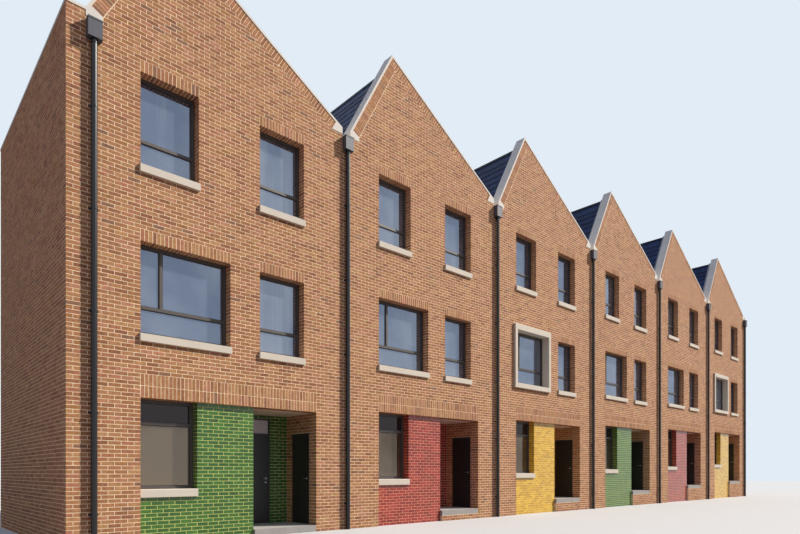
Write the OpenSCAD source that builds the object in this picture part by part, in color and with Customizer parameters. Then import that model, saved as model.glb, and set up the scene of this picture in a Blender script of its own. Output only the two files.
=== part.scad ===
// Row of terraced brick houses with asymmetric front gables, each house one step
// higher up a sloping street than its left neighbour. Millimetres, +Z up, the street
// fronts face -Y and the street climbs towards +X. The origin is the centre of the
// underside of the middle party wall, at the lowest ground that the row meets.

/* [Row] */
// Number of houses in the row
houses = 6; // [2:1:6]
// Width of one house, from party line to party line
house_w = 5850; // [5500:25:6400]
// Depth of the row, from street face to rear face
house_depth = 6400; // [5600:50:9000]
// Rise of each house above its left neighbour
step_up = 150; // [0:25:200]

/* [Walls and floors] */
// Thickness of the street and rear walls
wall_t = 300; // [290:5:330]
// Thickness of a party wall
party_t = 300; // [200:10:340]
// Thickness of the two end walls
end_wall_t = 300; // [250:10:340]
// How far an end wall's outer face lies beyond its party line
end_out = 110; // [60:5:160]
// Thickness of the ground floor slab
ground_slab_t = 150; // [100:10:250]
// Thickness of an upper floor, boards to ceiling
floor_t = 250; // [150:10:300]
// Height of the ground floor's ceiling above the street opening's head
ceiling_up = 50; // [30:5:100]
// Height from the first floor to the second
storey_h = 3150; // [2900:25:3400]

/* [Gables and roof] */
// Distance of the gable's peak from the house's left party line
peak_x = 1580; // [1400:10:2200]
// Height of the coping's peak above its feet
gable_h = 2540; // [2000:10:3000]
// Distance of the steep coping's foot from the party line
foot_x = 200; // [160:5:240]
// Height of both copings' feet above the second floor's window heads
foot_up = 690; // [600:10:900]
// Distance that the shallow coping stops short of the next party line
foot_gap = 35; // [20:5:60]
// Depth of the wall's top between two gables, below the copings' feet
valley_drop = 210; // [180:5:240]
// Depth of a kneeler stone's bed below the coping's foot
kneeler_drop = 150; // [130:5:170]
// Length of a kneeler stone along the steep coping's foot
steep_kneeler = 90; // [70:5:130]
// Length of a kneeler stone along the shallow coping's foot
shallow_kneeler = 195; // [190:5:230]
// Depth of the band of upright bricks below the coping
band_d = 215; // [180:5:230]
// Thickness of a coping stone
coping_t = 50; // [30:5:70]
// How far a coping stands out past each face of its wall
coping_lip = 12; // [8:2:30]
// Depth of the roof covering below the top of the coping, square to the slope
roof_drop = 175; // [140:5:200]
// Thickness of the roof, square to the slope
roof_t = 150; // [100:10:200]
// Width of the bearer under the foot of a roof slope
plate_w = 150; // [80:10:200]
// Height of that bearer
plate_h = 150; // [60:10:200]
// Depth of a gutter, from the top of the wall between two gables
gutter_d = 100; // [80:5:140]
// Thickness of the gutter's lining
gutter_t = 20; // [10:2:24]
// Width of a valley gutter
gutter_w = 400; // [380:10:460]
// Width of the gutter behind an end parapet
end_gutter_w = 210; // [180:10:260]

/* [Rainwater] */
// Width of a hopper head
hopper_w = 235; // [200:5:260]
// Height of a hopper head
hopper_h = 335; // [300:5:420]
// How far a hopper head stands out past the front of its pipe
hopper_front = 30; // [25:5:60]
// Thickness of a hopper head's sides
hopper_t = 8; // [4:1:12]
// Distance of a pipe's centre right of its party line
pipe_x = 90; // [70:5:100]
// Distance of the first pipe's centre right of the first party line
first_pipe_x = 320; // [300:5:330]
// Distance of the last pipe's centre left of the last party line
last_pipe_x = 60; // [40:5:80]
// Diameter of a downpipe
pipe_d = 100; // [80:5:110]
// Gap between a downpipe and the wall
pipe_gap = 15; // [12:1:30]
// Height between two pipe brackets
bracket_pitch = 1800; // [1500:50:2100]

/* [Windows] */
// Left edge of the left windows, and of the street opening
win_x = 1125; // [1000:25:1150]
// Width of a plain window
win_w = 1125; // [900:25:1125]
// Width of the wide first floor window
wide_w = 1800; // [1500:25:2100]
// Width of the brickwork between the wide window and the right window
win_gap = 675; // [450:25:900]
// Height of a sill's top above its floor
sill_up = 900; // [700:25:1100]
// Height of a window above the ground floor
win_h = 1725; // [1500:25:1900]
// Head of the street opening and of the ground floor windows
ground_head_z = 2625; // [2550:25:2800]
// Depth of the window frames behind the street face
reveal = 200; // [150:5:215]
// Width of a frame member, as seen from the street
frame_w = 55; // [40:5:80]
// Depth of a frame
frame_d = 70; // [50:5:75]
// Width of a transom or mullion
bar_w = 50; // [40:5:70]
// Height of the transom above the sill
transom_z = 530; // [350:10:600]
// Height of the ground floor window's upper light
top_light_h = 460; // [300:10:600]
// Thickness of the glass
glass_t = 24; // [6:2:28]
// Height of a sill stone
sill_h = 150; // [100:5:160]
// How far a sill stone stands out from the wall
sill_out = 50; // [40:5:90]
// How far a sill stone runs past each side of its window
sill_horn = 15; // [0:5:40]
// Width of the sides of a stone window surround
surround_t = 120; // [80:5:150]
// Height of the head of a stone window surround
surround_head = 185; // [120:5:200]
// How far a stone window surround stands out from the wall
surround_out = 75; // [50:5:120]

/* [Porch] */
// Width of the glazed brick panel between the window and the porch
panel_w = 1237.5; // [1012.5:112.5:1350]
// Width of the porch
porch_w = 1575; // [1462.5:112.5:1687.5]
// Setback of the glazed brick panel behind the street face
panel_back = 80; // [60:5:100]
// Depth of the porch, from the street face to the front door's wall
porch_depth = 1275; // [1240:5:1400]
// Thickness of the porch walls
porch_t = 102.5; // [100:2.5:120]
// Width of the brickwork left of the front door
door_side = 112.5; // [100:2.5:150]
// Width of the front door's opening
door_w = 990; // [900:10:1080]
// Height of the brickwork over the front door
over_door_h = 80; // [40:5:120]
// Height of the fanlight with its frame
fanlight_h = 400; // [300:10:440]
// Width of the side door's opening
side_w = 750; // [700:10:760]
// Height of the brickwork over the side door
over_side_h = 440; // [300:10:500]
// Width of a door post
post_w = 40; // [30:5:50]
// Thickness of a front door leaf
leaf_t = 54; // [44:2:60]
// Thickness of a side door leaf
side_leaf_t = 44; // [38:2:50]
// Clearance round a door leaf
door_gap = 5; // [5:1:8]
// Clearance below a door leaf
floor_gap = 10; // [6:1:15]
// Thickness of the porch ceiling
soffit_t = 25; // [12:1:40]
// Height of a lever handle above the floor
handle_z = 1080; // [1000:10:1150]

/* [Hidden] */

brick = [0.72, 0.47, 0.34];
stone = [0.87, 0.83, 0.76];
dark_metal = [0.20, 0.20, 0.22];
roof_tile = [0.15, 0.18, 0.27];
plaster = [0.80, 0.79, 0.76];
glass_tint = [0.55, 0.68, 0.78];
panel_colours = [[0.33, 0.52, 0.24], [0.74, 0.30, 0.26], [0.92, 0.76, 0.26]];

// Edges across a house, from its left party line
right_x = win_x + wide_w + win_gap;
panel_r = win_x + win_w + panel_w;
porch_r = panel_r + porch_w;

// Levels above a house's ground floor, and for the valleys above that of the house on the right
first_level = ground_head_z + ceiling_up + floor_t;
second_level = first_level + storey_h;
ground_sill_z = sill_up;
first_sill_z = first_level + sill_up;
first_head_z = first_sill_z + win_h;
second_sill_z = second_level + sill_up;
second_head_z = second_sill_z + win_h;
foot_z = second_head_z + foot_up;
peak_z = foot_z + gable_h;
valley_z = foot_z - valley_drop;
kneeler_z = foot_z - kneeler_drop;
gutter_z = valley_z - gutter_d;

row = [0:houses - 1];
lines = [0:houses];
front_y = -house_depth / 2;
rear_y = house_depth / 2;

// Slopes of the two copings, from the peak to their feet
steep_a = atan2(peak_z - foot_z, peak_x - foot_x);
shallow_run = house_w - foot_gap - peak_x;
shallow_a = atan2(peak_z - foot_z - step_up, shallow_run);
shallow_end = house_w - foot_gap;

// Height of a line parallel to a coping's top, set down by d square to the slope
function steep_z(x, d) = peak_z - (peak_x - x) * tan(steep_a) - d / cos(steep_a);
function shallow_z(x, d) = peak_z - (x - peak_x) * tan(shallow_a) - d / cos(shallow_a);
function peak_shift(d) = d * (1 / cos(steep_a) - 1 / cos(shallow_a)) / (tan(steep_a) + tan(shallow_a));
function peak_at(d) = [peak_x + peak_shift(d), shallow_z(peak_x + peak_shift(d), d)];

// Corners of the two kneeler stones, where their joints cross the band below the coping
steep_top = [foot_x + steep_kneeler, steep_z(foot_x + steep_kneeler, coping_t)];
steep_toe = steep_top + band_d * [sin(steep_a), -cos(steep_a)];
shallow_top = [shallow_end - shallow_kneeler, shallow_z(shallow_end - shallow_kneeler, coping_t)];
shallow_toe = shallow_top - band_d * [sin(shallow_a), cos(shallow_a)];
// Where the copings' undersides turn level at their feet
steep_under = [foot_x + coping_t * (1 / sin(steep_a) - 1 / tan(steep_a)), foot_z - coping_t];
shallow_under = [shallow_end - coping_t * (1 / sin(shallow_a) - 1 / tan(shallow_a)),
    foot_z + step_up - coping_t];

// Inner faces of a house's side walls, and the level of its floor
function left_in(n) = n == 0 ? end_wall_t - end_out : party_t / 2;
function right_in(n) = n == houses - 1 ? house_w + end_out - end_wall_t : house_w - party_t / 2;
function floor_z(n) = ground_slab_t + n * step_up;
function party_x(n) = (n - floor(houses / 2)) * house_w;

// Gutters: left and right edge beside party line n, from that line
function gutter_l(n) = n == 0 ? end_wall_t - end_out
    : n == houses ? end_out - end_wall_t - end_gutter_w : pipe_x - gutter_w / 2;
function gutter_r(n) = n == 0 ? gutter_l(0) + end_gutter_w
    : n == houses ? end_out - end_wall_t : gutter_l(n) + gutter_w;
function drain_x(n) = n == 0 ? first_pipe_x : n == houses ? -last_pipe_x : pipe_x;
// Levels at party line n go with the house on its right
function line_z(n) = floor_z(n);

has_surround = [false, false, true, false, false, true];
spout_w = 120;
pipe_off = pipe_d / 2 + pipe_gap;
hopper_d = pipe_off + pipe_d / 2 + hopper_front;
spout_z = [gutter_z + 10, valley_z - 20];
pane_y = 32;

// An outline in the X-Z plane, drawn from y1 to y2
module upright(y1, y2) {
    translate([0, y2, 0]) rotate([90, 0, 0]) linear_extrude(y2 - y1) children();
}
module block(x1, x2, y1, y2, z1, z2) {
    translate([x1, y1, z1]) cube([x2 - x1, y2 - y1, z2 - z1]);
}
// Puts a piece at house n, or at party line n
module at_house(n) { translate([party_x(n), 0, floor_z(n)]) children(); }
// The rear side repeats the street side, turned about the row's middle plane
module rear_side() { mirror([0, 1, 0]) children(); }

// Windows of a house as [x, width, sill, head], by storey
function first_wins() = [[win_x, wide_w], [right_x, win_w]];
function second_wins() = [[win_x, win_w], [right_x, win_w]];
module window_hole(x, w, z1, z2) { translate([x, z1]) square([w, z2 - z1]); }
module sill_hole(x, w, z) {
    translate([x - sill_horn, z - sill_h]) square([w + 2 * sill_horn, sill_h]);
}
module upper_holes(surround) {
    for (i = [0:1]) {
        w1 = first_wins()[i];
        w2 = second_wins()[i];
        window_hole(w1[0], w1[1], first_sill_z, first_head_z);
        window_hole(w2[0], w2[1], second_sill_z, second_head_z);
        sill_hole(w2[0], w2[1], second_sill_z);
        if (!(surround && i == 0)) sill_hole(w1[0], w1[1], first_sill_z);
    }
}
module surround_outline() {
    translate([win_x - surround_t, first_sill_z - sill_h])
        square([wide_w + 2 * surround_t, win_h + sill_h + surround_head]);
}
module spout_hole(n) {
    translate([drain_x(n) - spout_w / 2, spout_z[0] + line_z(n)])
        square([spout_w, spout_z[1] - spout_z[0]]);
}

// Outline of a gable wall of house n down to height z0, up to the copings' undersides
module gable_outline(n, z0) {
    first = n == 0;
    last = n == houses - 1;
    left = first
        ? [[-end_out, z0], [-end_out, foot_z - coping_t], [foot_x, foot_z - coping_t]]
        : [[0, z0], [0, valley_z], [foot_x, valley_z]];
    right_valley = valley_z + step_up;
    right = last
        ? [[shallow_end, foot_z + step_up - coping_t], [house_w + end_out, foot_z + step_up - coping_t],
           [house_w + end_out, z0]]
        : [[shallow_end, right_valley], [house_w, right_valley], [house_w, z0]];
    polygon(concat(
        left,
        [[foot_x, kneeler_z], [steep_toe[0], kneeler_z], steep_toe, steep_top],
        [peak_at(coping_t)],
        [shallow_top, shallow_toe, [shallow_toe[0], kneeler_z + step_up],
         [shallow_end, kneeler_z + step_up]],
        right));
}
module front_wall(n) {
    color(brick) at_house(n) translate([0, front_y, 0]) difference() {
        upright(0, wall_t) difference() {
            gable_outline(n, ground_head_z);
            upper_holes(has_surround[n]);
            for (k = [n, n + 1]) translate([(k - n) * house_w, -line_z(n)]) spout_hole(k);
        }
        if (has_surround[n]) upright(-1, reveal) surround_outline();
    }
}
module rear_wall(n) {
    ground_wins = first_wins();
    color(brick) rear_side() at_house(n) translate([0, front_y, 0]) upright(0, wall_t) difference() {
        gable_outline(n, -floor_z(n));
        upper_holes(false);
        for (w = ground_wins) {
            window_hole(w[0], w[1], ground_sill_z, ground_head_z);
            sill_hole(w[0], w[1], ground_sill_z);
        }
        for (k = [n, n + 1]) translate([(k - n) * house_w, -line_z(n)]) spout_hole(k);
    }
}

// Piers of street brickwork between the openings, each stepped at its party line
module front_piers() {
    color(brick) for (n = lines) translate([party_x(n), front_y, 0]) upright(0, wall_t) {
        l = n == 0 ? -end_out : porch_r - house_w;
        r = n == houses ? end_out : win_x;
        left_top = ground_head_z + (n == 0 ? floor_z(0) : floor_z(n - 1));
        right_top = ground_head_z + (n == houses ? floor_z(n - 1) : floor_z(n));
        polygon([[l, 0], [r, 0], [r, right_top], [0, right_top], [0, left_top], [l, left_top]]);
    }
}
module side_wall(x1, x2, top) {
    block(x1, x2, front_y + wall_t, rear_y - wall_t, 0, top);
}
module party_walls() {
    color(brick) for (n = [1:houses - 1])
        translate([party_x(n), 0, 0]) side_wall(-party_t / 2, party_t / 2, line_z(n) + gutter_z);
}
module end_walls() {
    color(brick) {
        translate([party_x(0), 0, 0])
            side_wall(-end_out, end_wall_t - end_out, floor_z(0) + foot_z - coping_t);
        translate([party_x(houses), 0, 0])
            side_wall(end_out - end_wall_t, end_out, line_z(houses) + foot_z - coping_t);
    }
}

module ground_floors() {
    color(plaster) for (n = row) at_house(n) {
        difference() {
            block(left_in(n), right_in(n), front_y, rear_y - wall_t, -ground_slab_t, 0);
            block(left_in(n) - 1, win_x, front_y - 1, front_y + wall_t, -ground_slab_t - 1, 1);
            block(porch_r, right_in(n) + 1, front_y - 1, front_y + wall_t, -ground_slab_t - 1, 1);
            block(win_x - 1, panel_r, front_y - 1, front_y + panel_back + wall_t,
                -ground_slab_t - 1, 1);
        }
    }
}
// Brickwork under each porch's floor, down to the lowest ground
module porch_footings() {
    color(brick) for (n = row) if (floor_z(n) > ground_slab_t) at_house(n)
        block(panel_r, porch_r, front_y, front_y + wall_t, -floor_z(n), -ground_slab_t);
}
module upper_floors(level) {
    color(plaster) for (n = row) at_house(n)
        block(left_in(n), right_in(n), front_y + wall_t, rear_y - wall_t, level - floor_t, level);
}
module first_floors() { upper_floors(first_level); }
module second_floors() { upper_floors(second_level); }

roof_y = [front_y + wall_t, rear_y - wall_t];
module steep_roof_slopes() {
    color(roof_tile) for (n = row) {
        l = gutter_r(n);
        w = left_in(n);
        heel = max(l, w) + plate_w;
        bed = gutter_z;
        at_house(n) upright(roof_y[0], roof_y[1]) polygon([
            peak_at(roof_drop), [l, steep_z(l, roof_drop)], [l, bed], [w, bed], [w, bed - plate_h],
            [heel, bed - plate_h], [heel, steep_z(heel, roof_drop + roof_t)],
            peak_at(roof_drop + roof_t)]);
    }
}
module shallow_roof_slopes() {
    color(roof_tile) for (n = row) {
        r = house_w + gutter_l(n + 1);
        w = right_in(n);
        heel = min(r, w) - plate_w;
        bed = gutter_z + step_up;
        at_house(n) upright(roof_y[0], roof_y[1]) polygon([
            peak_at(roof_drop), [r, shallow_z(r, roof_drop)], [r, bed], [w, bed], [w, bed - plate_h],
            [heel, bed - plate_h], [heel, shallow_z(heel, roof_drop + roof_t)],
            peak_at(roof_drop + roof_t)]);
    }
}
module valley_gutters() {
    color(dark_metal) for (n = lines) translate([party_x(n), 0, line_z(n)])
        upright(roof_y[0], roof_y[1]) difference() {
            translate([gutter_l(n), gutter_z])
                square([gutter_r(n) - gutter_l(n), valley_z - gutter_z]);
            translate([gutter_l(n) + gutter_t, gutter_z + gutter_t])
                square([gutter_r(n) - gutter_l(n) - 2 * gutter_t, valley_z - gutter_z]);
        }
}

// Both copings of a gable, mitred at the peak
module coping_outline() {
    polygon([[foot_x, foot_z - coping_t], [foot_x, foot_z], [peak_x, peak_z],
        [shallow_end, foot_z + step_up], [shallow_end, foot_z + step_up - coping_t], shallow_under,
        shallow_top, peak_at(coping_t), steep_top, steep_under]);
}
module gable_copings() {
    color(stone) for (n = row) at_house(n)
        upright(front_y - coping_lip, front_y + wall_t + coping_lip) coping_outline();
}
module front_copings() { gable_copings(); }
module rear_copings() { rear_side() gable_copings(); }
module end_copings() {
    y1 = front_y - coping_lip;
    color(stone) {
        at_house(0) block(-end_out - coping_lip, foot_x, y1, -y1, foot_z - coping_t, foot_z);
        translate([party_x(houses), 0, line_z(houses)])
            block(-foot_gap, end_out + coping_lip, y1, -y1, foot_z - coping_t, foot_z);
    }
}
module kneeler_outlines() {
    polygon([[foot_x, kneeler_z], [steep_toe[0], kneeler_z], steep_toe, steep_top,
        steep_under, [foot_x, foot_z - coping_t]]);
    polygon([[shallow_end, kneeler_z + step_up], [shallow_toe[0], kneeler_z + step_up], shallow_toe,
        shallow_top, shallow_under, [shallow_end, foot_z + step_up - coping_t]]);
}
module kneelers() {
    color(stone) for (n = row) {
        at_house(n) upright(front_y - coping_lip, front_y + wall_t) kneeler_outlines();
        rear_side() at_house(n) upright(front_y - coping_lip, front_y + wall_t) kneeler_outlines();
    }
}

// A sill stone: level bed, weathered top that falls to the street, drip at the front
module sill(x, w, z, face) {
    length = w + 2 * sill_horn;
    depth = sill_out + reveal;
    translate([x - sill_horn, face - sill_out, z - sill_h]) rotate([90, 0, 90])
        linear_extrude(length) polygon([[0, 0], [depth, 0], [depth, sill_h], [sill_out, sill_h],
            [0, sill_h - 10]]);
}
module window_sills() {
    color(stone) for (n = row) at_house(n) {
        sill(win_x + sill_horn, win_w - 2 * sill_horn, ground_sill_z, front_y + panel_back);
        for (i = [0:1]) {
            w1 = first_wins()[i];
            w2 = second_wins()[i];
            if (!(has_surround[n] && i == 0)) sill(w1[0], w1[1], first_sill_z, front_y);
            sill(w2[0], w2[1], second_sill_z, front_y);
        }
    }
    color(stone) rear_side() for (n = row) at_house(n) for (i = [0:1]) {
        w1 = first_wins()[i];
        w2 = second_wins()[i];
        sill(w1[0], w1[1], ground_sill_z, front_y);
        sill(w1[0], w1[1], first_sill_z, front_y);
        sill(w2[0], w2[1], second_sill_z, front_y);
    }
}
module stone_surrounds() {
    color(stone) for (n = row) if (has_surround[n]) at_house(n)
        upright(front_y - surround_out, front_y + reveal) difference() {
            surround_outline();
            window_hole(win_x, wide_w, first_sill_z, first_head_z);
        }
}

// A window frame: a ring with a transom, and a mullion above it on a wide window
module window_frame(x, w, z1, z2, bar_z, mullion, face) {
    y = face + reveal;
    inner = w - 2 * frame_w;
    color(dark_metal) {
        upright(y, y + frame_d) difference() {
            translate([x, z1]) square([w, z2 - z1]);
            translate([x + frame_w, z1 + frame_w]) square([inner, z2 - z1 - 2 * frame_w]);
        }
        upright(y, y + pane_y) {
            translate([x + frame_w, bar_z - bar_w / 2]) square([inner, bar_w]);
            if (mullion) translate([x + frame_w + inner * 0.22, bar_z])
                square([bar_w, z2 - frame_w - bar_z]);
        }
    }
}
module pane(x, w, z1, z2, face) {
    color(glass_tint) upright(face + reveal + pane_y, face + reveal + pane_y + glass_t)
        translate([x + frame_w, z1 + frame_w]) square([w - 2 * frame_w, z2 - z1 - 2 * frame_w]);
}
module first_floor_row() {
    for (n = row) at_house(n) for (i = [0:1]) {
        w = first_wins()[i];
        window_frame(w[0], w[1], first_sill_z, first_head_z, first_sill_z + transom_z, i == 0,
            front_y);
    }
}
module second_floor_row() {
    for (n = row) at_house(n) for (w = second_wins())
        window_frame(w[0], w[1], second_sill_z, second_head_z, second_sill_z + transom_z, false,
            front_y);
}
module ground_windows() {
    bar_z = ground_head_z - top_light_h;
    for (n = row) at_house(n)
        window_frame(win_x, win_w, ground_sill_z, ground_head_z, bar_z, false, front_y + panel_back);
    rear_side() for (n = row) at_house(n) for (i = [0:1]) {
        w = first_wins()[i];
        window_frame(w[0], w[1], ground_sill_z, ground_head_z, ground_sill_z + transom_z, i == 0,
            front_y);
    }
}
module first_floor_windows() {
    first_floor_row();
    rear_side() first_floor_row();
}
module second_floor_windows() {
    second_floor_row();
    rear_side() second_floor_row();
}
module window_glass() {
    for (n = row) at_house(n) {
        pane(win_x, win_w, ground_sill_z, ground_head_z, front_y + panel_back);
        for (i = [0:1]) {
            w = first_wins()[i];
            pane(w[0], w[1], first_sill_z, first_head_z, front_y);
        }
        for (w = second_wins()) pane(w[0], w[1], second_sill_z, second_head_z, front_y);
    }
    rear_side() for (n = row) at_house(n) {
        for (w = first_wins()) {
            pane(w[0], w[1], ground_sill_z, ground_head_z, front_y);
            pane(w[0], w[1], first_sill_z, first_head_z, front_y);
        }
        for (w = second_wins()) pane(w[0], w[1], second_sill_z, second_head_z, front_y);
    }
}

// Glazed brick below the street window and beside the porch, down to the lowest ground
module glazed_wall(n) {
    win_r = win_x + win_w;
    seat = ground_sill_z - sill_h;
    color(panel_colours[n % 3]) at_house(n) translate([0, front_y + panel_back, 0])
        upright(0, wall_t) polygon([[win_x, -floor_z(n)], [panel_r, -floor_z(n)],
            [panel_r, ground_head_z], [win_r, ground_head_z], [win_r, seat], [win_x, seat]]);
}
module glazed_walls(colour) { for (n = row) if (n % 3 == colour) glazed_wall(n); }
module green_glazed_walls() { glazed_walls(0); }
module red_glazed_walls() { glazed_walls(1); }
module yellow_glazed_walls() { glazed_walls(2); }

porch_y = front_y + porch_depth;
soffit_z = ground_head_z - soffit_t;
door_x = panel_r + door_side;
door_r = door_x + door_w;
door_h = soffit_z - over_door_h;
fanlight_z = door_h - fanlight_h;
side_y = front_y + wall_t;
side_r = side_y + side_w;
side_h = soffit_z - over_side_h;
module porch_back_walls() {
    color(brick) for (n = row) at_house(n) {
        block(panel_r, door_x, porch_y, porch_y + porch_t, 0, soffit_z);
        block(door_r, right_in(n), porch_y, porch_y + porch_t, 0, soffit_z);
    }
}
module porch_side_walls() {
    color(brick) for (n = row) at_house(n) {
        block(panel_r - porch_t, panel_r, front_y + panel_back + wall_t, porch_y + porch_t, 0,
            first_level - floor_t);
        block(porch_r, porch_r + porch_t, side_r, porch_y, 0, soffit_z);
    }
}
module porch_lintels() {
    color(brick) for (n = row) at_house(n) {
        block(door_x, door_r, porch_y, porch_y + porch_t, door_h, soffit_z);
        block(porch_r, porch_r + porch_t, side_y, side_r, side_h, soffit_z);
    }
}
module porch_soffits() {
    color(plaster) for (n = row) at_house(n)
        block(panel_r, right_in(n), front_y + wall_t, porch_y + porch_t, soffit_z,
            first_level - floor_t);
}

// Door frames: posts beside each door, a head over it, and a fanlight over a front door
frame_y = porch_y + 20;
front_hinge = [door_x + post_w, frame_y + leaf_t + 10];
side_face = porch_r + 12;
side_hinge = [side_face - 10, side_r - post_w];
hinge_r = 7;
hinge_h = 50;
hinge_zs = [250, 1050, 1850];
knuckle_gap = 0.3;
leaf_top = fanlight_z - door_gap;
side_top = side_h - post_w - door_gap;

module door_posts() {
    color(dark_metal) for (n = row) at_house(n) {
        block(door_x, door_x + post_w, frame_y, frame_y + leaf_t, 0, fanlight_z);
        block(door_r - post_w, door_r, frame_y, frame_y + leaf_t, 0, fanlight_z);
        block(side_face, side_face + side_leaf_t, side_y, side_y + post_w, 0, side_h - post_w);
        block(side_face, side_face + side_leaf_t, side_r - post_w, side_r, 0, side_h - post_w);
        for (z = hinge_zs) {
            hinge_lower_front(z);
            hinge_lower_side(z);
        }
    }
}
// Lower half of a hinge, on the post
module hinge_lower_front(z) {
    x = front_hinge[0] + door_gap / 2;
    y = front_hinge[1];
    translate([x, y, z - hinge_h - knuckle_gap]) cylinder(h = hinge_h, r = hinge_r, $fn = 24);
    block(door_x + 8, x, y - 10, y - hinge_r + 3, z - hinge_h - knuckle_gap, z - knuckle_gap);
}
module hinge_upper_front(z) {
    x = front_hinge[0] + door_gap / 2;
    y = front_hinge[1];
    translate([x, y, z]) cylinder(h = hinge_h, r = hinge_r, $fn = 24);
    block(x, x + 32, y - 10, y - hinge_r + 3, z, z + hinge_h);
}
module hinge_lower_side(z) {
    x = side_hinge[0];
    y = side_hinge[1] - door_gap / 2;
    translate([x, y, z - hinge_h - knuckle_gap]) cylinder(h = hinge_h, r = hinge_r, $fn = 24);
    block(x + hinge_r - 3, x + 10, y, side_r - 8, z - hinge_h - knuckle_gap, z - knuckle_gap);
}
module hinge_upper_side(z) {
    x = side_hinge[0];
    y = side_hinge[1] - door_gap / 2;
    translate([x, y, z]) cylinder(h = hinge_h, r = hinge_r, $fn = 24);
    block(x + hinge_r - 3, x + 10, y - 32, y, z, z + hinge_h);
}
module door_heads() {
    color(dark_metal) for (n = row) at_house(n) {
        upright(frame_y, frame_y + leaf_t) difference() {
            translate([door_x, fanlight_z]) square([door_w, door_h - fanlight_z]);
            translate([door_x + post_w, fanlight_z + post_w])
                square([door_w - 2 * post_w, door_h - fanlight_z - 2 * post_w]);
        }
        block(side_face, side_face + side_leaf_t, side_y, side_r, side_h - post_w, side_h);
    }
}
module fanlight_glass() {
    color(glass_tint) for (n = row) at_house(n)
        block(door_x + post_w, door_r - post_w, frame_y + 20, frame_y + 20 + glass_t,
            fanlight_z + post_w, door_h - post_w);
}

// A lever handle: round rose, spindle and bar, pointing out of a face along -Y
module lever(reach) {
    rotate([90, 0, 0]) {
        cylinder(h = 10, d = 52, $fn = 32);
        cylinder(h = 50, d = 20, $fn = 24);
    }
    translate([0, -42, 0]) rotate([0, 90, 0]) translate([0, 0, reach < 0 ? reach : 0])
        cylinder(h = abs(reach), d = 18, $fn = 24);
}
module front_door(n) {
    l = door_x + post_w + door_gap;
    r = door_r - post_w - door_gap;
    color(dark_metal) at_house(n) {
        block(l, r, frame_y, frame_y + leaf_t, floor_gap, leaf_top);
        translate([r - 65, frame_y, handle_z]) lever(-110);
        translate([r - 65, frame_y + leaf_t, handle_z]) mirror([0, 1, 0]) lever(-110);
        for (z = hinge_zs) hinge_upper_front(z);
    }
}
module side_door(n) {
    near = side_y + post_w + door_gap;
    far = side_r - post_w - door_gap;
    color(dark_metal) at_house(n) {
        block(side_face, side_face + side_leaf_t, near, far, floor_gap, side_top);
        translate([side_face, near + 60, handle_z]) rotate([0, 0, -90]) lever(-100);
        for (z = hinge_zs) hinge_upper_side(z);
    }
}

// Rainwater: an open hopper head at each valley and a bracketed pipe down to the ground
module hopper() {
    difference() {
        block(-hopper_w / 2, hopper_w / 2, -hopper_d, 0, valley_z - hopper_h, valley_z);
        block(-hopper_w / 2 + hopper_t, hopper_w / 2 - hopper_t, -hopper_d + hopper_t, -hopper_t,
            valley_z - hopper_h + hopper_t, valley_z + 1);
        translate([0, -pipe_off, valley_z - hopper_h - 1]) cylinder(h = hopper_t + 2, d = pipe_d - 16, $fn = 32);
        block(-spout_w / 2, spout_w / 2, -hopper_t - 1, 1, spout_z[0], spout_z[1]);
    }
}
module hopper_row() {
    for (n = lines) translate([party_x(n) + drain_x(n), front_y, line_z(n)]) hopper();
}
module hoppers() {
    color(dark_metal) {
        hopper_row();
        rear_side() hopper_row();
    }
}
module downpipe(height) {
    difference() {
        union() {
            translate([0, -pipe_off, 0]) cylinder(h = height, d = pipe_d, $fn = 32);
            translate([0, -pipe_off, height - 70]) cylinder(h = 70, d = pipe_d + 16, $fn = 32);
            for (z = [bracket_pitch / 3:bracket_pitch:height - 300]) translate([0, 0, z]) {
                translate([0, -pipe_off, 0]) cylinder(h = 40, d = pipe_d + 12, $fn = 32);
                block(-15, 15, -pipe_off, 0, 5, 35);
                block(-80, 80, -6, 0, 0, 40);
            }
        }
        translate([0, -pipe_off, -1]) cylinder(h = height + 2, d = pipe_d - 16, $fn = 32);
    }
}
module pipe_row() {
    for (n = lines) translate([party_x(n) + drain_x(n), front_y, 0])
        downpipe(line_z(n) + valley_z - hopper_h);
}
module downpipes() {
    color(dark_metal) {
        pipe_row();
        rear_side() pipe_row();
    }
}

front_wall(0);  // front_wall_1
front_wall(1);  // front_wall_2
front_wall(2);  // front_wall_3
front_wall(3);  // front_wall_4
front_wall(4);  // front_wall_5
front_wall(5);  // front_wall_6
rear_wall(0);  // rear_wall_1
rear_wall(1);  // rear_wall_2
rear_wall(2);  // rear_wall_3
rear_wall(3);  // rear_wall_4
rear_wall(4);  // rear_wall_5
rear_wall(5);  // rear_wall_6
front_piers();
porch_footings();
party_walls();
end_walls();
ground_floors();
first_floors();
second_floors();
steep_roof_slopes();
shallow_roof_slopes();
valley_gutters();
front_copings();
rear_copings();
end_copings();
kneelers();
window_sills();
stone_surrounds();
ground_windows();
first_floor_windows();
second_floor_windows();
window_glass();
green_glazed_walls();
red_glazed_walls();
yellow_glazed_walls();
porch_back_walls();
porch_side_walls();
porch_lintels();
porch_soffits();
door_posts();
door_heads();
fanlight_glass();
hoppers();
downpipes();
front_door(0);  // front_door_1
front_door(1);  // front_door_2
front_door(2);  // front_door_3
front_door(3);  // front_door_4
front_door(4);  // front_door_5
front_door(5);  // front_door_6
side_door(0);  // side_door_1
side_door(1);  // side_door_2
side_door(2);  // side_door_3
side_door(3);  // side_door_4
side_door(4);  // side_door_5
side_door(5);  // side_door_6
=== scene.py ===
import math

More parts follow.
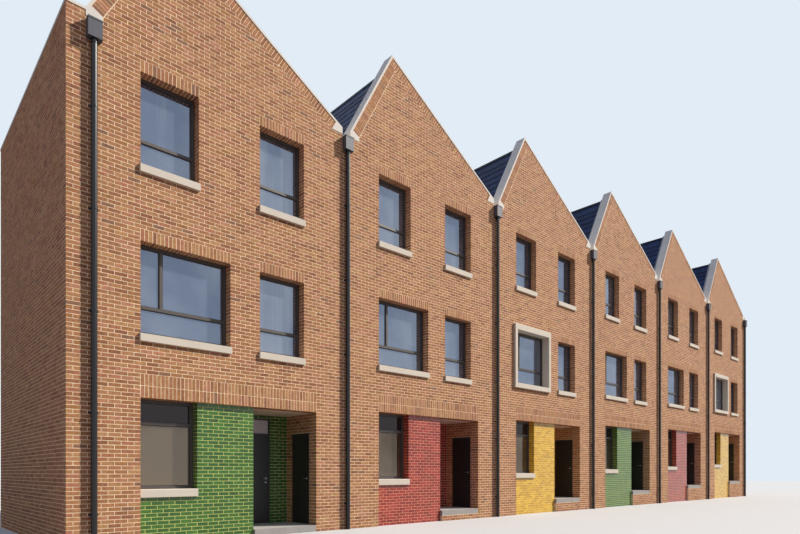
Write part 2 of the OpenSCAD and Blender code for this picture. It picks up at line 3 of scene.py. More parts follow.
import bpy
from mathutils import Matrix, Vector


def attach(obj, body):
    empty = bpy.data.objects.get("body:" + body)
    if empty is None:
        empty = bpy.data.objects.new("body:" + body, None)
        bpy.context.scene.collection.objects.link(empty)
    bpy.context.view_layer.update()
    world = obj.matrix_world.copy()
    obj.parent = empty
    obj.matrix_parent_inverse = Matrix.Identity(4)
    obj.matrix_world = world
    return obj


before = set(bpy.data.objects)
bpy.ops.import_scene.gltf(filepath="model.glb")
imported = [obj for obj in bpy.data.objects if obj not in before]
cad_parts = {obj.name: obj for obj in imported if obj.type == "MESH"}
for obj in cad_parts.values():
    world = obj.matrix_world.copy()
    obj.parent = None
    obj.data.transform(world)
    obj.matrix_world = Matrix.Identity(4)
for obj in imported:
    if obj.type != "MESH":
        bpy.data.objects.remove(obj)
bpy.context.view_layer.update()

# Studio
# The row stands on a plain pale floor under one broad lamp, low on the right of the street,
# with a pale sky round it that lights it bluer from overhead. The camera stands across the
# street, just past the row's left end, level, with its view shifted up to take in the gables.


class Reading:
    """A socket of a shader tree that sums, scales and compares as a number does."""

    def __init__(self, shade, socket):
        self.shade, self.socket = shade, socket

    def _math(self, kind, *values):
        return self.shade.node("Math", {"operation": kind}, dict(enumerate(values)))

    def __add__(self, other): return self._math("ADD", self, other)
    def __radd__(self, other): return self._math("ADD", other, self)
    def __sub__(self, other): return self._math("SUBTRACT", self, other)
    def __rsub__(self, other): return self._math("SUBTRACT", other, self)
    def __mul__(self, other): return self._math("MULTIPLY", self, other)
    def __rmul__(self, other): return self._math("MULTIPLY", other, self)
    def __truediv__(self, other): return self._math("DIVIDE", self, other)
    def __mod__(self, other): return self._math("FLOORED_MODULO", self, other)
    def __gt__(self, other): return self._math("GREATER_THAN", self, other)
    def __lt__(self, other): return self._math("LESS_THAN", self, other)
    def __abs__(self): return self._math("ABSOLUTE", self)

    def between(self, low, high):
        """0 below low, 1 above high, and a ramp from one to the other."""
        return self.shade.node("MapRange", {"clamp": True},
                               {"Value": self, "From Min": low, "From Max": high})


class Shade:
    """A shader tree whose nodes are made by type, settings, and values or links."""

    def __init__(self, tree):
        self.tree = tree

    def node(self, kind, settings=(), inputs=(), output=0):
        made = self.tree.nodes.new("ShaderNode" + kind)
        for key, value in dict(settings).items():
            if key == "stops":
                ramp = made.color_ramp
                while len(ramp.elements) < len(value):
                    ramp.elements.new(1.0)
                for element, (place, colour) in zip(ramp.elements, value):
                    element.position, element.color = place, colour
            elif key == "interpolation":
                made.color_ramp.interpolation = value
            else:
                setattr(made, key, value)
        for key, value in dict(inputs).items():
            self.feed(made.inputs[key], value)
        return Reading(self, made.outputs[output]) if len(made.outputs) else None

    def feed(self, socket, value):
        if isinstance(value, Reading):
            self.tree.links.new(value.socket, socket)
        else:
            socket.default_value = value

    def place(self, axis=None):
        """Where a point lies on the piece, or one coordinate of that."""
        at = self.node("TexCoord", output="Object")
        return at if axis is None else self.node("SeparateXYZ", {}, {0: at}, "XYZ".index(axis))

    def grain(self, scale, detail=3.0, rough=0.55, stretch=None):
        """Cloudy noise on the piece, closer along the axes that stretch makes greater."""
        at = self.place()
        if stretch:
            at = self.node("Mapping", {}, {"Vector": at, "Scale": stretch})
        return self.node("TexNoise", {}, {
            "Vector": at, "Scale": scale, "Detail": detail, "Roughness": rough})

    def mix(self, amount, first, second):
        return self.node("Mix", {"data_type": "RGBA", "clamp_factor": True},
                         {0: amount, 6: first, 7: second}, 2)

    def dim(self, colour, amount):
        """A colour made lighter or darker by a number that varies over the surface."""
        if not isinstance(colour, Reading):
            colour = colour[:3]
        return self.node("VectorMath", {"operation": "SCALE"}, {0: colour, "Scale": amount})

    def seen(self):
        """Above 0 where a ray comes from the camera, or by way of gloss or glass."""
        camera_ray, gloss, glass = (self.node("LightPath", output="Is %s Ray" % way)
                                    for way in ("Camera", "Glossy", "Transmission"))
        return camera_ray + gloss + glass


def rgb(red, green, blue):
    """A colour read from 0 to 255 on a screen, as the light it stands for."""
    shares = (red / 255, green / 255, blue / 255)
    return tuple(c / 12.92 if c <= 0.04045 else ((c + 0.055) / 1.055) ** 2.4 for c in shares) + (1.0,)


def finish(name, **constants):
    """A new material: its shader's constants by socket name, and its tree."""
    material = bpy.data.materials.new(name)
    material.use_nodes = True
    shade = Shade(material.node_tree)
    shade.material, shade.shader = material, material.node_tree.nodes["Principled BSDF"]
    for key, value in constants.items():
        shade.shader.inputs[key.replace("_", " ")].default_value = value
    return shade


def coat(shade, colour=None, roughness=None, bump=None, depth=0.002, metallic=None):
    """Feeds what varies over the surface to the shader."""
    for socket, value in (("Base Color", colour), ("Roughness", roughness), ("Metallic", metallic)):
        if value is not None:
            shade.feed(shade.shader.inputs[socket], value)
    if bump is not None:
        raised = shade.node("Bump", {}, {"Strength": 1.0, "Distance": depth, "Height": bump})
        shade.feed(shade.shader.inputs["Normal"], raised)
    return shade.material


floor_half = 90.0
floor_mesh = bpy.data.meshes.new("studio_floor")
floor_mesh.from_pydata([(-floor_half, -floor_half, 0), (floor_half, -floor_half, 0),
                        (floor_half, floor_half, 0), (-floor_half, floor_half, 0)], [], [(0, 1, 2, 3)])
studio_floor = bpy.data.objects.new("studio_floor", floor_mesh)
bpy.context.collection.objects.link(studio_floor)
paving = finish("studio_floor", Roughness=0.9, Specular_IOR_Level=0.2)
paved = coat(paving, paving.mix(paving.seen(), rgb(120, 112, 112), rgb(192, 190, 187)))
floor_mesh.materials.append(paved)

world = bpy.data.worlds.new("pale_sky")
bpy.context.scene.world = world
world.use_nodes = True
sky = Shade(world.node_tree)
world.node_tree.nodes.clear()
backdrop = sky.node("Background", {}, {"Color": rgb(226, 236, 246), "Strength": 1.0})
up = sky.node("SeparateXYZ", {}, {0: sky.node("TexCoord", output="Generated")}, 2)
horizon, zenith = (0.17, 0.15, 0.17, 1.0), (0.46, 0.57, 0.78, 1.0)
vault = sky.mix(up.between(0.1, 0.9), horizon, zenith)
daylight = sky.node("Background", {}, {"Color": vault, "Strength": 1.0})
shown = sky.node("MixShader", {}, {0: sky.seen(), 1: daylight, 2: backdrop})
sky.node("OutputWorld", {}, {"Surface": shown})

sun_way = Vector((-1.75, 1.0, -1.65))
sun = bpy.data.objects.new("key_lamp", bpy.data.lights.new("key_lamp", "SUN"))
sun.data.energy = 5.5
sun.data.angle = math.radians(3.0)
sun.data.color = (1.0, 0.955, 0.88)
sun.rotation_euler = sun_way.to_track_quat("-Z", "Y").to_euler()
bpy.context.collection.objects.link(sun)

camera = bpy.data.objects.new("street_camera", bpy.data.cameras.new("street_camera"))
camera.data.sensor_width = 36.0
camera.data.lens = 26.104
camera.data.shift_y = 0.2571
camera.data.clip_end = 400.0
camera.location = (-20.2177, -14.4099, 1.3675)
camera.rotation_euler = (math.radians(90.0), 0.0, math.radians(-42.797))
bpy.context.collection.objects.link(camera)
bpy.context.scene.camera = camera
bpy.context.scene.view_settings.view_transform = "Standard"

# Facing brickwork
# The street, rear and end walls are faced with fired clay bricks in stretcher bond, 225 mm
# by 75 mm with their joints, in oranges, reds, buffs and a few dark headers. Bricks stand
# on end over openings, and square to the slope under the copings.

# A house is measured from its left party line and from its own ground floor.
houses, house_w, face_y = 6, 5.85, -3.2
ground_z, step = 0.15, 0.15
end_out = 0.11
row_half = houses * house_w / 2

course, module, brick_h, half_joint = 0.075, 0.225, 0.065, 0.006
soldier_h = 0.215
stand, seat = 0.002, 0.006
stretcher_in, header_in = 0.1025, 0.2125
corner_end = 1.0

peak_x, peak_z = 1.58, 11.93
foot_x, foot_z = 0.20, 9.39
end_x = house_w - 0.035
steep = math.atan2(peak_z - foot_z, peak_x - foot_x)
shallow = math.atan2(peak_z - foot_z - step, end_x - peak_x)
coping = 0.05
kneeler_h, kneeler_l, kneeler_r = 0.15, 0.09, 0.195
hopper_z, valley_z, parapet_z = 9.18, 9.176, 9.336

win_x, win_w, wide_w, right_x = 1.125, 1.125, 1.8, 3.6
street_x, street_r, street_jambs = 1.125, 5.0625, (0.28, 0.30)
sill_z, head_z = (0.90, 3.825, 6.975), (2.625, 5.55, 8.70)
sill_h, sill_out, reveal = 0.15, 0.015, 0.2
in_stone, surround, surround_head = (2, 5), 0.12, 0.185
first_pipe_x, pipe_x, last_pipe_x, outlet = 0.32, 0.09, -0.06, 0.07


def house_at(n):
    """Left party line and ground floor of house n, counted from 0."""
    return (n - houses // 2) * house_w, ground_z + step * n


def steep_line(x, d):
    """Height at x of a line that lies d below the top of the steep coping."""
    return peak_z - (peak_x - x) * math.tan(steep) - d / math.cos(steep)


def shallow_line(x, d):
    """The same under the shallow coping."""
    return peak_z - (x - peak_x) * math.tan(shallow) - d / math.cos(shallow)


def mitre(d):
    """Where the two lines d below the copings' tops meet."""
    across = d * (1 / math.cos(steep) - 1 / math.cos(shallow)) / (math.tan(steep) + math.tan(shallow))
    return peak_x + across, shallow_line(peak_x + across, d)


def cut(outline, a, b, c):
    """The part of a flat outline where a*u + b*v is at most c."""
    kept = []
    for i, p in enumerate(outline):
        q = outline[i - 1]
        dp, dq = a * p[0] + b * p[1] - c, a * q[0] + b * q[1] - c
        if (dp <= 0) != (dq <= 0):
            t = dq / (dq - dp)
            kept.append((q[0] + t * (p[0] - q[0]), q[1] + t * (p[1] - q[1])))
        if dp <= 0:
            kept.append(p)
    return kept


class Wall:
    """Brick outlines laid on one upright plane; u runs along it and v is height."""

    def __init__(self, origin, along, out):
        self.origin, self.along, self.out = Vector(origin), Vector(along), Vector(out)
        self.outlines = []

    def lay(self, outline, depth=seat, back=0.0):
        """One brick, let depth into the wall; slivers are left out."""
        area = sum(q[0] * p[1] - p[0] * q[1] for p, q in zip(outline, [outline[-1]] + outline[:-1]))
        if len(outline) < 3 or abs(area) < 0.0012:
            return
        if (area > 0) != (self.along.cross(Vector((0, 0, 1))).dot(self.out) > 0):
            outline = outline[::-1]
        self.outlines.append(([self.origin + self.along * u + Vector((0, 0, v)) - self.out * back
                               for u, v in outline], depth))

    def brick(self, u0, u1, v0, v1, cuts=(), depth=seat, back=0.0):
        """An upright brick, less what lies past the cuts."""
        outline = [(u0, v0), (u1, v0), (u1, v1), (u0, v1)]
        for a, b, c in cuts:
            outline = cut(outline, a, b, c)
            if len(outline) < 3:
                return
        self.lay(outline, depth, back)

    def run(self, a, b, k, v0, v1, cuts=(), left=None, right=None, shift=0.0):
        """One course from a to b. left and right say how deep the jamb at that end shows:
        None where the bond runs on, 0 against stone or another wall, 1 at a corner."""
        least, sliver, joint, behind = 0.045, 0.015, 0.01, 0.06
        start = shift + (module / 2 if k % 2 else 0.0)
        steps = range(math.ceil((a + least - start) / module),
                      math.floor((b - least - start) / module) + 1)
        ends = [a] + [start + i * module for i in steps] + [b]
        for g0, g1 in zip(ends, ends[1:]):
            first, last = g0 == a, g1 == b
            u0 = a - stand if first and left else g0 + half_joint
            u1 = b + stand if last and right else g1 - half_joint
            if u1 - u0 <= sliver:
                continue
            jamb = (left if first else 0) or (right if last else 0) or 0
            thick = stretcher_in if u1 - u0 > 0.15 else header_in
            self.brick(u0, u1, v0, v1, cuts, min(jamb, thick) if jamb else seat)
            if thick + 3 * joint < jamb < corner_end:
                w0, w1 = (u0, u0 + behind) if first and left else (u1 - behind, u1)
                self.brick(w0, w1, v0, v1, cuts, jamb - thick - joint, thick + joint)

    def soldiers(self, a, b, v0, v1, depth=seat):
        """Bricks on end from a to b."""
        count = round((b - a) / course)
        wide = (b - a) / count
        for i in range(count):
            self.brick(a + i * wide + half_joint, a + (i + 1) * wide - half_joint, v0, v1, (), depth)


def front_holes(n, wall, street):
    """The openings of house n's wall as (left, right, low, high, left jamb, right jamb), as
    run has them. The bricks on end over each opening are laid on the way."""
    holes = []
    for storey, left_w in enumerate((wide_w, wide_w, win_w)):
        if storey == 0 and street:
            continue
        sill, head = sill_z[storey], head_z[storey]
        for x, w in ((win_x, left_w), (right_x, win_w)):
            if street and storey == 1 and x == win_x and n in in_stone:
                holes.append((x - surround, x + w + surround,
                              sill - sill_h, head + surround_head, 0, 0))
                continue
            holes.append((x, x + w, sill, head, reveal, reveal))
            holes.append((x - sill_out, x + w + sill_out, sill - sill_h, sill, 0, 0))
            holes.append((x, x + w, head, head + module, 0, 0))
            wall.soldiers(x, x + w, head - stand, head + soldier_h, reveal)
    if street:
        head, far_below = head_z[0], -2.0
        holes.append((street_x, street_r, far_below, head, *street_jambs))
        holes.append((street_x, street_r, head, head + 2 * module, 0, 0))
        wall.soldiers(street_x, street_r, head - stand, head + soldier_h, street_jambs[1])
        wall.soldiers(street_x, street_r, head + module, head + module + soldier_h)
    pipes = ((n, pipe_x if n else first_pipe_x),
             (n + 1, house_w + (pipe_x if n < houses - 1 else last_pipe_x)))
    for k, x in pipes:
        top = hopper_z + step * (k - n)
        holes.append((x - outlet, x + outlet, top - 0.10, top - 0.01, 0, 0))
    return holes


def house_front(n, wall, street):
    """Lays house n's gable wall on its street or rear side."""
    first, last = n == 0, n == houses - 1
    left, right = (corner_end if first else None), (corner_end if last else None)
    holes = front_holes(n, wall, street)
    toe_l = foot_x + kneeler_l + soldier_h * math.sin(steep)
    toe_r = end_x - kneeler_r - soldier_h * math.sin(shallow)
    slopes = ((-math.tan(steep), 1.0, steep_line(0, coping + soldier_h + 0.014)),
              (math.tan(shallow), 1.0, shallow_line(0, coping + soldier_h + 0.006)))
    for k in range(-(2 + 2 * n), math.ceil(peak_z / course)):
        v0, v1 = k * course, k * course + course - 2 * half_joint
        toothed = module / 2 if k % 2 else 0.0
        a = -end_out if first else toothed
        b = house_w + (end_out if last else toothed)
        if v1 <= hopper_z:
            spans = [(a, b, left, right, v1, ())]
        else:
            spans = []
            top = parapet_z if first else valley_z
            if v0 < top - 0.02:
                spans.append((a, foot_x, left, 0, min(v1, top), ()))
            start = foot_x if v1 <= foot_z - kneeler_h else toe_l + 0.005
            if v1 <= hopper_z + step and not last:
                spans.append((start, b, 0, None, v1, ()))
            else:
                under = slopes[:1] if v1 > hopper_z + step else ()
                under += slopes[1:] if v1 > foot_z else ()
                spans.append((start, end_x if v1 <= foot_z else toe_r - 0.005, 0, 0, v1, under))
                top = (parapet_z if last else valley_z) + step
                if v0 < top - 0.02:
                    spans.append((end_x, b, 0, right, min(v1, top), ()))
        for *span, high, under in spans:
            pieces = [span]
            for x0, x1, low, head, jamb_l, jamb_r in holes:
                if v1 > low + 0.002 and v0 < head - 0.002:
                    pieces = [p for u0, u1, end_l, end_r in pieces for p in
                              ((u0, min(u1, x0), end_l, jamb_l if x0 < u1 else end_r),
                               (max(u0, x1), u1, jamb_r if x1 > u0 else end_l, end_r))
                              if p[1] - p[0] > 0.02]
            for u0, u1, end_l, end_r in pieces:
                wall.run(u0, u1, k, v0, high, under, end_l, end_r)
    for angle, side, foot, reach in ((steep, 1.0, (foot_x, foot_z), kneeler_l),
                                     (shallow, -1.0, (end_x, foot_z + step), kneeler_r)):
        cos, sin = math.cos(angle), math.sin(angle)
        way, inward = (side * cos, sin), (side * sin, -cos)
        high, low = mitre(coping), mitre(coping + soldier_h)
        a, b = side * (high[1] - low[1]), side * (low[0] - high[0])
        c = a * high[0] + b * high[1] - 0.005 * math.hypot(a, b)
        near, far = coping + 0.003, coping + soldier_h
        s = (reach - coping * sin) / cos + 0.010
        while True:
            square = ((s, near), (s + brick_h, near), (s + brick_h, far), (s, far))
            kept = cut([(foot[0] + way[0] * t + inward[0] * d, foot[1] + way[1] * t + inward[1] * d)
                        for t, d in square], a, b, c)
            if len(kept) < 3:
                break
            wall.lay(kept)
            s += course
    return wall


class Bench:
    """A Geometry Nodes tree with named inputs, run once and kept as a plain mesh."""

    kinds = {float: "NodeSocketFloat", int: "NodeSocketInt"}

    def __init__(self, name, **inputs):
        self.tree = bpy.data.node_groups.new(name, "GeometryNodeTree")
        sockets = self.tree.interface
        sockets.new_socket("Geometry", in_out="INPUT", socket_type="NodeSocketGeometry")
        for key, value in inputs.items():
            kind = "NodeSocketMaterial" if value is None else self.kinds[type(value)]
            made = sockets.new_socket(key, in_out="INPUT", socket_type=kind)
            if value is not None:
                made.default_value = value
        sockets.new_socket("Geometry", in_out="OUTPUT", socket_type="NodeSocketGeometry")
        self.given = self.tree.nodes.new("NodeGroupInput").outputs

    def node(self, kind, settings=(), inputs=()):
        made = self.tree.nodes.new(kind)
        for key, value in dict(settings).items():
            setattr(made, key, value)
        for key, value in dict(inputs).items():
            socket = made.inputs[key] if isinstance(key, int) else \
                next(s for s in made.inputs if s.name == key and s.enabled)
            if isinstance(value, bpy.types.NodeSocket):
                self.tree.links.new(value, socket)
            else:
                socket.default_value = value
        return next(s for s in made.outputs if s.enabled)

    def math(self, kind, *values):
        return self.node("ShaderNodeMath", {"operation": kind}, dict(enumerate(values)))

    def read(self, name):
        """A number that is kept on the mesh."""
        return self.node("GeometryNodeInputNamedAttribute", {"data_type": "FLOAT"}, {"Name": name})

    def keep(self, geometry, domain, name, value):
        """The geometry with a number kept on it."""
        return self.node("GeometryNodeStoreNamedAttribute", {"data_type": "FLOAT", "domain": domain},
                         {"Geometry": geometry, "Name": name, "Value": value})

    def chance(self, kind, low, high, seed, **more):
        """A number or a vector drawn afresh for each element."""
        return self.node("FunctionNodeRandomValue", {"data_type": kind},
                         {"Min": low, "Max": high, "Seed": seed, **more})

    def end(self, geometry):
        """Closes the tree: instances made real, and the material set."""
        real = self.node("GeometryNodeRealizeInstances", {}, {0: geometry})
        covered = self.node("GeometryNodeSetMaterial", {},
                            {"Geometry": real, "Material": self.given["Material"]})
        self.tree.links.new(covered, self.tree.nodes.new("NodeGroupOutput").inputs[0])

    def make(self, name, mesh, body, slot, **values):
        """Runs the tree on a mesh and makes the result a piece that rides on its body."""
        piece = bpy.data.objects.new(name, mesh)
        bpy.context.collection.objects.link(piece)
        bench = piece.modifiers.new("bench", "NODES")
        bench.node_group = self.tree
        for item in self.tree.interface.items_tree:
            if item.in_out == "INPUT" and item.name in values:
                bench[item.identifier] = values[item.name]
        graph = bpy.context.evaluated_depsgraph_get()
        result = bpy.data.meshes.new_from_object(piece.evaluated_get(graph), depsgraph=graph)
        piece.modifiers.clear()
        piece.data = result
        result.name = name
        bpy.data.meshes.remove(mesh)
        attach(piece, body)


bricklaying = Bench("bricklaying", Stand=stand, Unevenness=0.0008, Seed=0, Material=None)
seed, number = bricklaying.given["Seed"], bricklaying.node("GeometryNodeInputIndex")
toned = bricklaying.keep(bricklaying.given["Geometry"], "FACE", "tone",
                         bricklaying.chance("FLOAT", 0.0, 1.0, seed, ID=number))
bed = bricklaying.read("bed")
inward = bricklaying.node("ShaderNodeVectorMath", {"operation": "SCALE"},
                          {0: bricklaying.node("GeometryNodeInputNormal"),
                           "Scale": bricklaying.math("MULTIPLY", bed, -1.0)})
seated = bricklaying.node("GeometryNodeSetPosition", {}, {"Geometry": toned, "Offset": inward})
uneven = bricklaying.chance("FLOAT", -1.0, 0.0, bricklaying.math("ADD", seed, 7.0), ID=number)
sunk = bricklaying.math("MULTIPLY", uneven, bricklaying.given["Unevenness"])
height = bricklaying.math("ADD", bed, bricklaying.math("ADD", bricklaying.given["Stand"], sunk))
raised = bricklaying.node("GeometryNodeExtrudeMesh", {"mode": "FACES"},
                          {"Mesh": seated, "Offset Scale": height, "Individual": True})
backs = bricklaying.node("GeometryNodeFlipFaces", {}, {"Mesh": seated})
both = bricklaying.tree.nodes.new("GeometryNodeJoinGeometry")
for part in (raised, backs):
    bricklaying.tree.links.new(part, both.inputs[0])
closed = bricklaying.node("GeometryNodeMergeByDistance", {},
                          {"Geometry": both.outputs[0], "Distance": 0.00005})
any_way = bricklaying.chance("FLOAT_VECTOR", (-1.2, -1.2, -1.2), (1.2, 1.2, 1.2), seed)
nudge = bricklaying.node("ShaderNodeVectorMath", {"operation": "SCALE"},
                         {0: any_way, "Scale": bricklaying.given["Unevenness"]})
bricklaying.end(bricklaying.node("GeometryNodeSetPosition", {}, {"Geometry": closed, "Offset": nudge}))


def brick_faces(*walls):
    """The outlines of some walls as one flat mesh, each with the depth of its brick."""
    points, faces, beds = [], [], []
    for wall in walls:
        for outline, depth in wall.outlines:
            faces.append(range(len(points), len(points) + len(outline)))
            points += outline
            beds += [depth] * len(outline)
    mesh = bpy.data.meshes.new("outlines")
    mesh.from_pydata(points, [], faces)
    mesh.attributes.new("bed", "FLOAT", "POINT").data.foreach_set("value", beds)
    return mesh


def fired_clay(name, stops, **constants):
    """Clay whose colour goes by each brick's own tone, with the kiln's patches and sand."""
    clay = finish(name, **constants)
    tone = clay.node("Attribute", {"attribute_name": "tone"}, output="Fac")
    burnt = clay.node("ValToRGB", {"interpolation": "CONSTANT", "stops": stops}, {"Fac": tone})
    own = (tone * 57.31) % 1.0
    patch = clay.grain(15.0, 6.0, rough=0.75)
    sand = clay.grain(140.0, 3.0)
    lit = 0.90 + own * 0.10 + (patch - 0.5) * 1.9 + (sand - 0.5) * 0.5
    return clay, clay.dim(burnt, lit), patch, sand


facing, facing_colour, facing_patch, facing_sand = fired_clay("facing_brick", [
    (0.00, rgb(160, 109, 77)), (0.12, rgb(170, 119, 83)), (0.27, rgb(177, 125, 87)),
    (0.45, rgb(182, 131, 92)), (0.60, rgb(176, 119, 88)), (0.72, rgb(186, 138, 94)),
    (0.82, rgb(168, 118, 76)), (0.89, rgb(188, 131, 100)), (0.95, rgb(150, 100, 72)),
    (0.985, rgb(146, 107, 84))], Roughness=0.9, Specular_IOR_Level=0.2)
facing_brick = coat(facing, facing_colour, 0.82 + facing_patch * 0.15,
                    facing_sand + facing_patch * 0.5, 0.0016)

plaster, plaster_y = rgb(222, 219, 212), -face_y - 0.207
mortar = finish("lime_mortar", Roughness=0.95, Specular_IOR_Level=0.15)
joint_colour = mortar.dim(rgb(250, 224, 188), 0.64 + mortar.grain(12.0, 5.0) * 0.76)
inside = (abs(mortar.place("Y")) < plaster_y) * (abs(mortar.place("X")) < row_half + 0.05)
skim = mortar.dim(plaster, 0.97 + mortar.grain(2.0) * 0.05)
lime_mortar = coat(mortar, mortar.mix(inside, joint_colour, skim), None, mortar.grain(180.0), 0.001)

for n in range(houses):
    x, z = house_at(n)
    street = house_front(n, Wall((x, face_y, z), (1, 0, 0), (0, -1, 0)), True)
    bricklaying.make("street_bricks_%d" % (n + 1), brick_faces(street), "row", "brickwork",
                     Seed=11 + n, Material=facing_brick)
    rear = house_front(n, Wall((x, -face_y, z), (1, 0, 0), (0, 1, 0)), False)
    bricklaying.make("rear_bricks_%d" % (n + 1), brick_faces(rear), "row", "brickwork",
                     Seed=31 + n, Material=facing_brick)

for name, side, parapet in (("left_end_bricks", -1, house_at(0)[1] + parapet_z),
                            ("right_end_bricks", 1, house_at(houses)[1] + parapet_z)):
    wall = Wall((side * (row_half + end_out), 0, 0), (0, 1, 0), (side, 0, 0))
    for k in range(math.ceil(parapet / course)):
        reach = -face_y - (module / 2 if k % 2 else module)
        wall.run(-reach, reach, k, k * course, min(k * course + brick_h, parapet), shift=face_y)
    bricklaying.make(name, brick_faces(wall), "row", "brickwork", Seed=53 + side, Material=facing_brick)


def dress(material, *names):
    """Puts a material on pieces of the construction."""
    for name in names:
        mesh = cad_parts[name].data
        mesh.materials.clear()
        mesh.materials.append(material)


dress(lime_mortar, "front_piers", "porch_footings", "party_walls", "end_walls",
      *[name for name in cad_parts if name.startswith(("front_wall_", "rear_wall_"))])

# Glazed and porch brickwork
# Below each street window and round the porch stands a leaf of glazed bricks, gloss green,
# red or yellow by turns, laid in pale joints 80 mm behind the street face. The porch's right
# side and the footing under its floor are plain facing bricks.

panel_in, panel_r = 0.08, 3.4875
panel_y = face_y + panel_in
porch_y, porch_courses, ceiling = face_y + 1.275, 35, 2.597
door_x, door_r, door_h, door_jamb = 3.60, 4.59, 2.52, 0.02
side_near, side_far, side_h, side_jamb = face_y + street_jambs[1], face_y + 1.05, 2.16, 0.01
glazes = (
    ("green", ((50, 98, 26), (58, 106, 30), (46, 92, 24), (64, 112, 34)), (224, 226, 134)),
    ("red", ((150, 40, 31), (162, 47, 38), (142, 35, 29), (172, 56, 45)), (248, 184, 142)),
    ("yellow", ((220, 164, 20), (228, 174, 28), (210, 154, 18), (234, 184, 38)), (255, 238, 156)))

for kind, (colour, shades, joint) in enumerate(glazes):
    glaze, glaze_colour, pool, _ = fired_clay(
        colour + "_glaze", [(i * 0.25, rgb(*c)) for i, c in enumerate(shades)],
        Specular_IOR_Level=0.4, Coat_Weight=0.6, Coat_Roughness=0.06)
    glaze_finish = coat(glaze, glaze_colour, 0.22 + pool * 0.2, pool, 0.0012)
    glazed_joint = finish(colour + "_panel_mortar", Roughness=0.9, Specular_IOR_Level=0.2)
    pale = glazed_joint.dim(rgb(*joint), 0.82 + glazed_joint.grain(50.0) * 0.25)
    dress(coat(glazed_joint, pale, None, glazed_joint.grain(160.0), 0.001), colour + "_glazed_walls")
    for n in range(kind, houses, 3):
        x, z = house_at(n)
        panel = Wall((x, panel_y, z), (1, 0, 0), (0, -1, 0))
        back = Wall((x, porch_y, z), (1, 0, 0), (0, -1, 0))
        left = Wall((x + panel_r, 0, z), (0, 1, 0), (1, 0, 0))
        for k in range(-(2 + 2 * n), porch_courses):
            v0, v1 = k * course, k * course + brick_h
            panel.run(win_x if v1 < sill_z[0] - sill_h else win_x + win_w, panel_r, k, v0, v1,
                      left=0 if v1 < sill_z[0] else reveal, right=corner_end)
            if k < 0:
                continue
            v1 = min(v1, ceiling)
            corner = module / 2 if k % 2 else module
            left.run(panel_y + corner, porch_y, k, v0, v1, right=0, shift=panel_y)
            back.run(panel_r, door_x, k, v0, v1, left=0, right=door_jamb)
            back.run(door_r, street_r, k, v0, v1, left=door_jamb, right=0)
        back.run(door_x, door_r, 0, door_h + 0.003, ceiling, left=0, right=0)
        bricklaying.make("glazed_bricks_%d" % (n + 1), brick_faces(panel, back, left), "row",
                         colour + "_glazed_brick", Seed=71 + n, Material=glaze_finish)


def across_house(shade):
    """How far a point lies from the left party line of its house."""
    return (shade.place("X") + row_half) % house_w


bedding = finish("porch_mortar", Roughness=0.95, Specular_IOR_Level=0.15)
across = across_house(bedding)
indoors = (across < panel_r - 0.05) + (across > street_r + 0.05) + (bedding.place("Y") > porch_y + 0.05)
jointing = bedding.dim(rgb(226, 208, 182), 0.84 + bedding.grain(60.0) * 0.26)
porch_mortar = coat(bedding, bedding.mix(indoors, jointing, plaster), None, bedding.grain(180.0), 0.001)
dress(porch_mortar, "porch_back_walls", "porch_side_walls", "porch_lintels")

porch_walls = []
for n in range(houses):
    x, z = house_at(n)
    right = Wall((x + street_r, 0, z), (0, 1, 0), (-1, 0, 0))
    for k in range(porch_courses):
        v0, v1 = k * course, min(k * course + brick_h, ceiling)
        at_door = v1 < side_h + 0.02
        right.run(side_far if at_door else side_near, porch_y, k, v0, v1,
                  left=side_jamb if at_door else 0, right=0, shift=face_y)
    plinth = Wall((x, face_y, 0), (1, 0, 0), (0, -1, 0))
    for k in range(2 * n):
        plinth.run(panel_r, street_r, k, k * course, k * course + brick_h, left=0, right=0)
    porch_walls += [right, plinth]
bricklaying.make("porch_bricks", brick_faces(*porch_walls), "row", "brickwork",
                 Seed=91, Material=facing_brick)

# Stone dressings
# Copings, kneelers, sills and the two window surrounds are smooth cast stone, cream with a
# little pink, bedded in mortar. Coping stones are about 0.7 m long with pointed joints.

steep_stone, shallow_stone = 0.345, 0.6035


def cast_stone(name, tint, jointed=False):
    """Cast stone, with joints where it is cut into coping stones."""
    stone = finish(name, Roughness=0.8, Specular_IOR_Level=0.3)
    cloud, sand = stone.grain(1.7, 4.0), stone.grain(140.0)
    colour = stone.dim(tint, 0.90 + (cloud - 0.5) * 0.22 + (sand - 0.5) * 0.12)
    if jointed:
        along = across_house(stone) - peak_x
        by_steep = abs((along / steep_stone) % 1.0 - 0.5) > 0.4935
        by_shallow = abs((along / shallow_stone) % 1.0 - 0.5) > 0.4942
        on_steep, on_shallow = (along < -0.05) * (along > -1.3), (along > 0.05) * (along < 4.1)
        joint = by_steep * on_steep + by_shallow * on_shallow
        colour = stone.mix(joint * 0.75, colour, rgb(128, 118, 104))
        sand = sand - joint * 2.0
    return coat(stone, colour, 0.74 + cloud * 0.14, sand, 0.0008)


dress(cast_stone("coping_stone", rgb(238, 229, 216), True), "front_copings", "rear_copings")
dress(cast_stone("pale_stone", rgb(238, 229, 216)), "end_copings", "kneelers")
dress(cast_stone("sill_stone", rgb(226, 214, 196)), "window_sills", "stone_surrounds")

# Slated roofs
# Both slopes of every roof carry dark blue slates, 300 mm wide at a 300 mm gauge, each
# nailed over the one below with half a slate's shift between courses. Angle ridge tiles
# cap the peaks, and lead is dressed against the gables and lines the gutters.

roof_drop, roof_y = 0.175, face_y + 0.30
slate_w, gauge, slate_t = 0.30, 0.30, 0.008
gutter_l, gutter_r, end_gutter = -0.11, 0.29, 0.40

